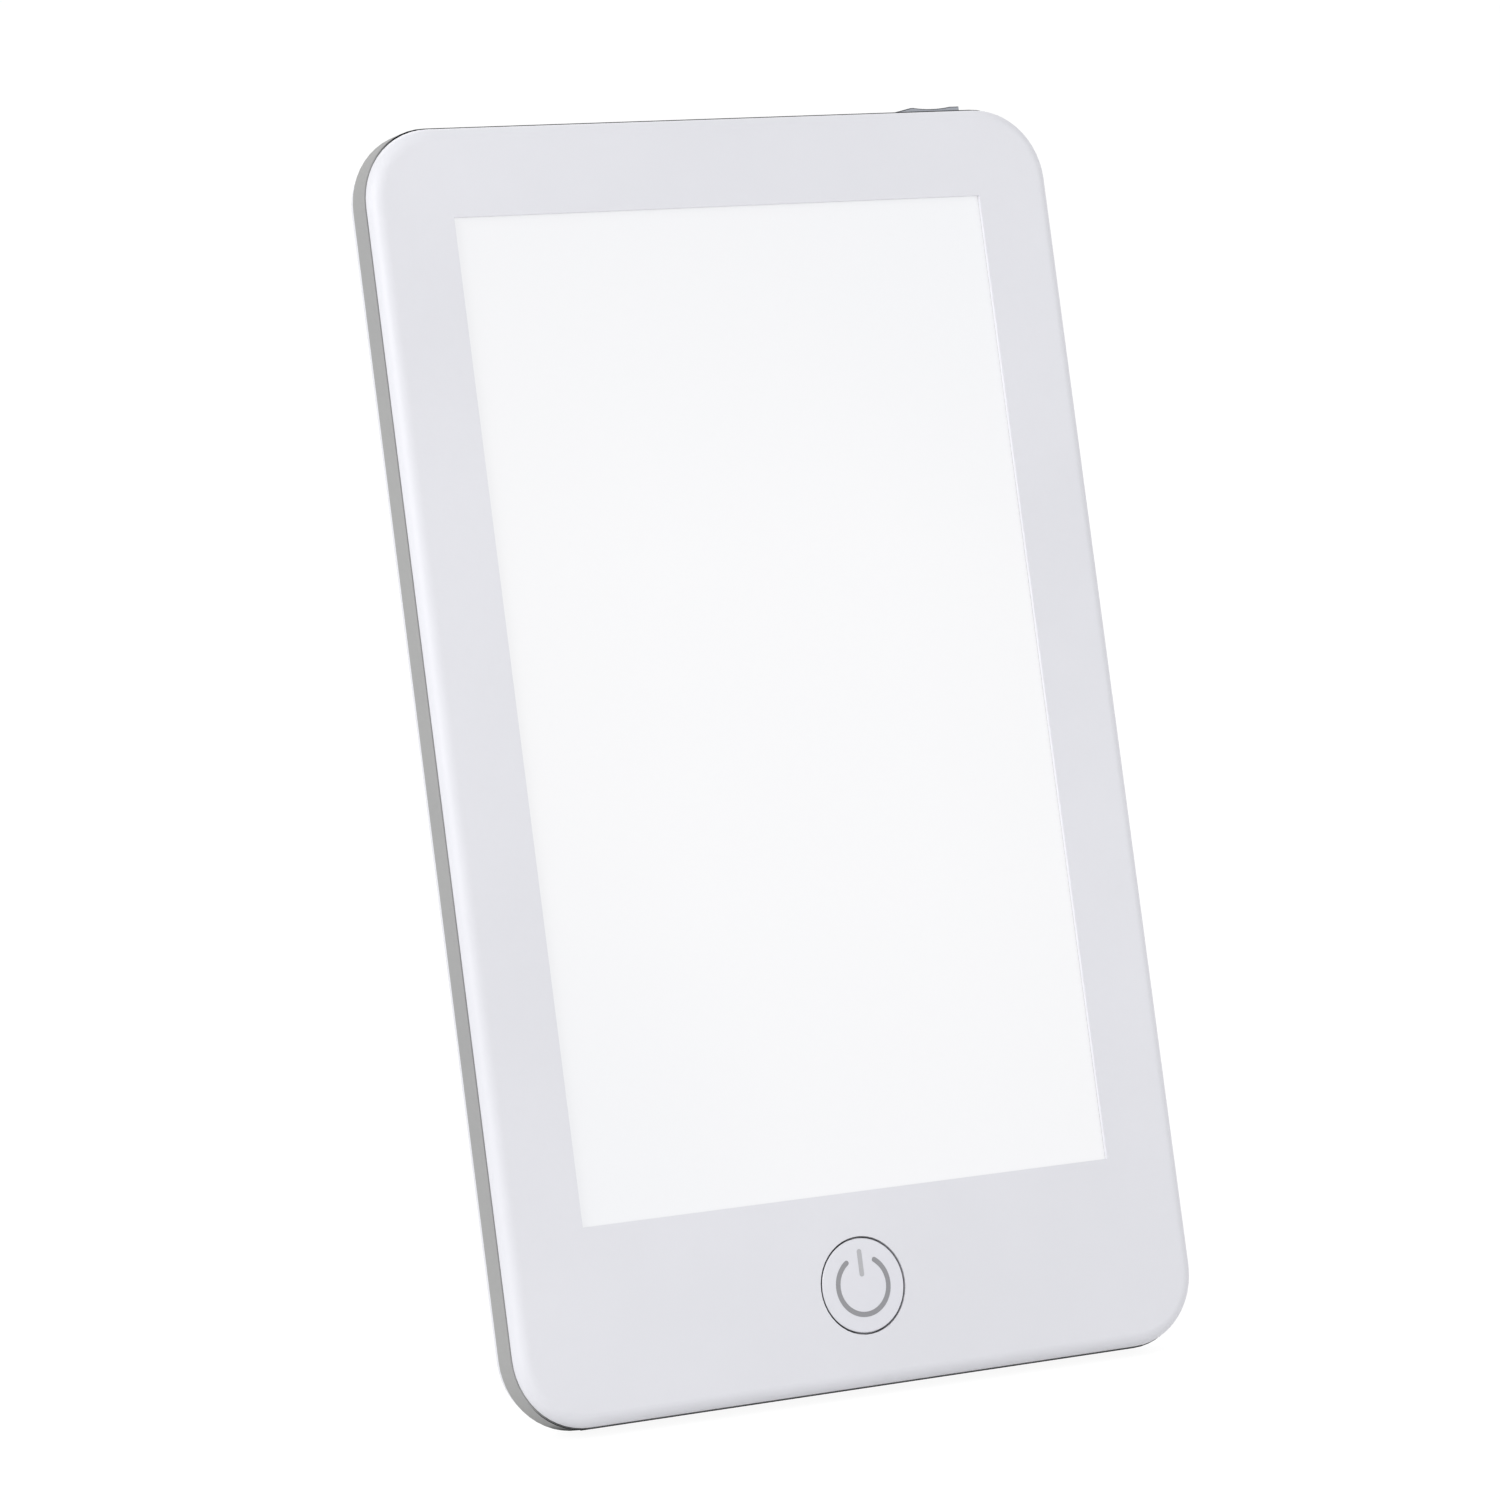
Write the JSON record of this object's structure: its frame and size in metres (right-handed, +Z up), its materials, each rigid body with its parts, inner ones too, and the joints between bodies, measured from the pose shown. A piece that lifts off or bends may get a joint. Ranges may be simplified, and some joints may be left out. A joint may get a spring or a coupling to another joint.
{
  "type": "light therapy lamp",
  "caption": "Tablet-shaped light therapy lamp with a lit rectangular window, round push button, top slide key and a folding rear leg.",
  "frame": {"origin": "on the surface the lamp stands on, under the centre of its bounding box", "axes": "+Z up, +X to the right seen from the front, +Y to the rear; the front faces -Y and leans back 14.6 degrees"},
  "size_m": [0.1366, 0.0662, 0.2171],
  "materials": {
    "white_shell": "fine satin moulded white ABS",
    "tape": "double-sided adhesive film",
    "opal_lens": "opal acrylic, lit from behind",
    "white_film": "thin optical film",
    "clear_acrylic": "clear polished acrylic with a printed dot grid",
    "strip_board": "white solder mask",
    "led_package": "phosphor-filled white LED package",
    "tray_aluminium": "bent sheet",
    "screw_steel": "zinc-plated steel",
    "grey_band": "satin grey moulded plastic",
    "white_button": "satin white with a printed grey symbol",
    "black_plastic": "moulded black plastic",
    "circuit_board": "green solder mask",
    "inductor_grey": "pressed ferrite",
    "capacitor_can": "drawn can",
    "contact_brass": "tinned contact",
    "grey_key": "satin blue-grey moulded plastic",
    "lead_white": "two-core PVC lead",
    "hinge_zinc": "stamped and plated steel",
    "pin_steel": "ground steel",
    "grey_leg": "satin grey moulded plastic",
    "foot_rubber": "moulded rubber"
  },
  "bodies": {
    "lamp": {"front_bezel": "white_shell", "lens_tape": "tape", "diffuser_lens": "opal_lens", "diffuser_film": "white_film", "light_guide": "clear_acrylic", "reflector_sheet": "white_film", "led_board_left": "strip_board", "led_board_right": "strip_board", "leds_left": "led_package", "leds_right": "led_package", "back_plate": "tray_aluminium", "plate_screws": "screw_steel", "side_band": "grey_band", "rear_cover": "white_shell", "case_screws": "screw_steel", "bottom_feet": "foot_rubber", "tact_switch": "black_plastic", "control_board": "circuit_board", "board_screws": "screw_steel", "power_inductor": "inductor_grey", "driver_chip": "black_plastic", "board_capacitors": "capacitor_can", "dc_jack": "black_plastic", "inlet_pin": "contact_brass", "slide_switch": "black_plastic", "switch_board": "circuit_board", "led_leads": "lead_white", "switch_leads": "lead_white", "hinge_bracket": "hinge_zinc", "hinge_pin": "pin_steel", "friction_washers": "pin_steel", "hinge_screws": "screw_steel"},
    "stand": {"stand_leg": "grey_leg", "leg_foot_pad": "foot_rubber"},
    "button": {"button_cap": "white_button", "switch_plunger": "black_plastic"},
    "key": {"slide_key": "grey_key"}
  },
  "joints": [
    {"name": "stand_fold", "type": "hinge", "parent": "lamp", "child": "stand", "pos_m": [0, 0.0067, 0.11595], "axis": [-1, 0, 0], "range_deg": [0, 25]},
    {"name": "button_press", "type": "slide", "parent": "lamp", "child": "button", "axis": [0, 0.9677, -0.2521], "range_m": [0, 0.0005], "stiffness_N_per_m": 3000},
    {"name": "key_slide", "type": "slide", "parent": "lamp", "child": "key", "axis": [-1, 0, 0], "range_m": [0, 0.002]}
  ]
}
